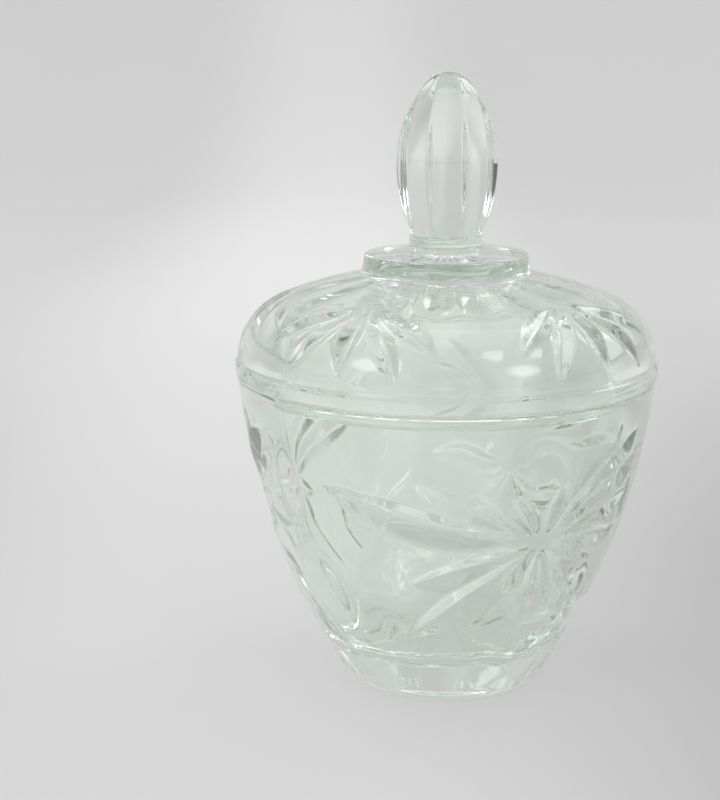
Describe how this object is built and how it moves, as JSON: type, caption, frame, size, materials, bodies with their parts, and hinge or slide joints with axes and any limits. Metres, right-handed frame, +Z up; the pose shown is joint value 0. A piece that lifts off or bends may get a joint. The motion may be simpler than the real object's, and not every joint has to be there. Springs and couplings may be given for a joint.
{
  "type": "lidded dappen dish",
  "caption": "Footed round dish of clear pressed glass with starburst sides and a domed lift-off lid with fan rays and a faceted bud knob.",
  "frame": {"origin": "middle of the underside of the dish's foot", "axes": "+Z up along the axis of dish and lid, -Y to the front, +X to the right seen from the front"},
  "size_m": [0.0892, 0.0892, 0.1291],
  "materials": {
    "dish_glass": "clear pressed glass, fire-polished, faintly green in its thick foot",
    "lid_glass": "clear pressed glass, fire-polished, faintly green in its thick knob"
  },
  "bodies": {
    "dish": {"dish": "dish_glass"},
    "lid": {"lid": "lid_glass"}
  },
  "joints": [
    {"name": "lid_lift", "type": "slide", "parent": "dish", "child": "lid", "axis": [0, 0, 1], "range_m": [0, 0.1]}
  ]
}
